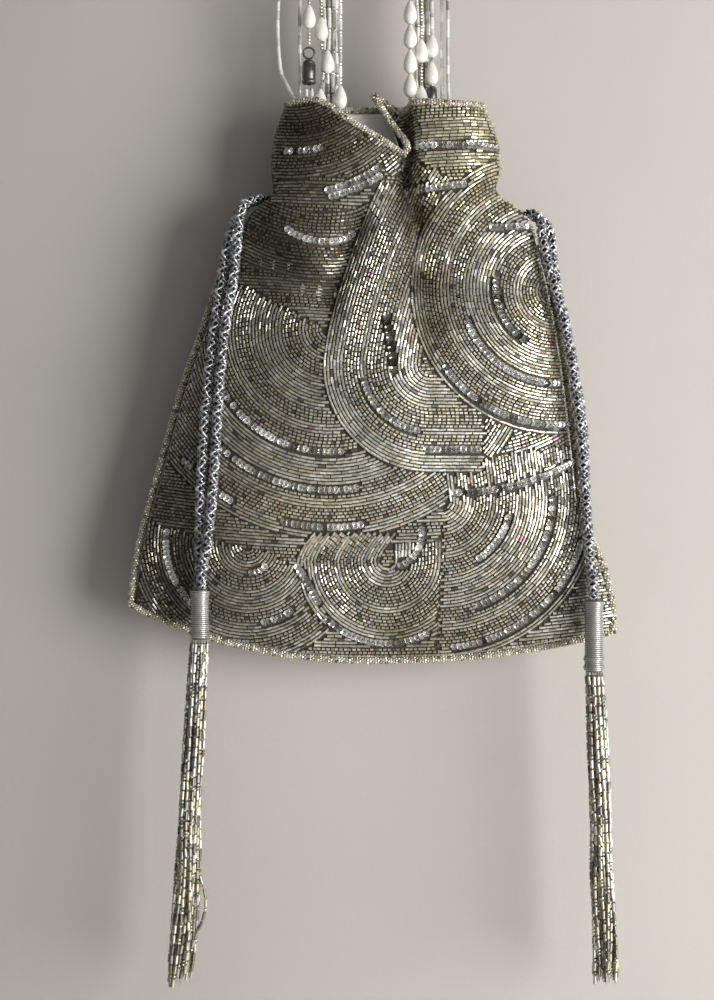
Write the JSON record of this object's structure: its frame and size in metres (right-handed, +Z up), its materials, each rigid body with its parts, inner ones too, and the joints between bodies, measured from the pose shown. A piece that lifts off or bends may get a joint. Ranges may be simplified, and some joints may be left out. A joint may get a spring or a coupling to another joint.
{
  "type": "beaded drawstring evening pouch",
  "caption": "Beaded drawstring evening pouch with a ruffled mouth, a loop handle of bead strands and pearls, and tasselled drawstrings; it hangs from a hook or a hand.",
  "frame": {"origin": "inside top of the handle's arc, where a hook or a hand holds it", "axes": "+Z up, -Y out of the pouch's front, +X to its right as seen from the front"},
  "size_m": [0.2257, 0.0516, 0.5328],
  "materials": {
    "beaded cloth": "net cloth covered in bugle beads, cut beads and cup sequins",
    "satin": "off-white satin",
    "gold bead edging": "gold seed beads",
    "silver crochet cord": "metallic silver crocheted thread",
    "steel bead fringe": "steel-grey cut beads",
    "bugle bead strand": "silver and champagne bugle beads",
    "clear bead strand": "clear beads on thread",
    "pearl": "cream pearl",
    "dark pewter": "dark pewter"
  },
  "bodies": {
    "handle": {"bugle_strand_inner": "bugle bead strand", "bugle_strand_middle": "bugle bead strand", "bugle_strand_outer": "bugle bead strand", "pearl_strand_front": "bugle bead strand", "pearl_strand_back": "bugle bead strand", "pearl_strand_inner": "bugle bead strand", "outer_strand": "bugle bead strand", "loose_strand": "bugle bead strand", "left_short_strand_outer": "clear bead strand", "left_short_strand_inner": "clear bead strand", "right_short_strand": "clear bead strand", "pearl_01": "pearl", "pearl_02": "pearl", "pearl_03": "pearl", "pearl_04": "pearl", "pearl_05": "pearl", "pearl_06": "pearl", "pearl_07": "pearl", "pearl_08": "pearl", "pearl_09": "pearl", "pearl_10": "pearl", "pearl_11": "pearl", "pearl_12": "pearl", "pearl_13": "pearl", "jump_ring": "dark pewter", "left_end_cap": "dark pewter", "right_end_cap": "dark pewter"},
    "pouch": {"front_panel": "beaded cloth", "back_panel": "beaded cloth", "front_lining": "satin", "back_lining": "satin", "rim_beading": "gold bead edging", "seam_beading": "gold bead edging", "drawstring_loop_left": "silver crochet cord", "drawstring_loop_right": "silver crochet cord"},
    "left_cords": {"left_cord_front": "silver crochet cord", "left_cord_back": "silver crochet cord"},
    "right_cords": {"right_cord_front": "silver crochet cord", "right_cord_back": "silver crochet cord"},
    "left_tassel": {"left_tassel_cap": "silver crochet cord", "left_fringe_strand_1": "steel bead fringe", "left_fringe_strand_2": "steel bead fringe", "left_fringe_strand_3": "steel bead fringe", "left_fringe_strand_4": "steel bead fringe", "left_fringe_strand_5": "steel bead fringe", "left_fringe_strand_6": "steel bead fringe", "left_fringe_strand_7": "steel bead fringe"},
    "right_tassel": {"right_tassel_cap": "silver crochet cord", "right_fringe_strand_1": "steel bead fringe", "right_fringe_strand_2": "steel bead fringe", "right_fringe_strand_3": "steel bead fringe", "right_fringe_strand_4": "steel bead fringe", "right_fringe_strand_5": "steel bead fringe", "right_fringe_strand_6": "steel bead fringe", "right_fringe_strand_7": "steel bead fringe"}
  },
  "joints": [
    {"name": "pouch_swing", "type": "hinge", "parent": "handle", "child": "pouch", "pos_m": [0, 0.004, -0.127], "axis": [1, 0, 0], "range_deg": [-4, 4]},
    {"name": "left_cords_swing", "type": "hinge", "parent": "pouch", "child": "left_cords", "pos_m": [-0.0495, 0, -0.1595], "axis": [0, 1, 0], "range_deg": [0, 75]},
    {"name": "right_cords_swing", "type": "hinge", "parent": "pouch", "child": "right_cords", "pos_m": [0.071, 0, -0.1661], "axis": [0, -1, 0], "range_deg": [0, 75]},
    {"name": "left_cords_pull", "type": "slide", "parent": "left_cords", "child": "left_tassel", "axis": [0, 0, -1], "range_m": [0, 0.05], "deforming": ["left_cord_front", "left_cord_back"]},
    {"name": "right_cords_pull", "type": "slide", "parent": "right_cords", "child": "right_tassel", "axis": [0, 0, -1], "range_m": [0, 0.05], "deforming": ["right_cord_front", "right_cord_back"]}
  ]
}
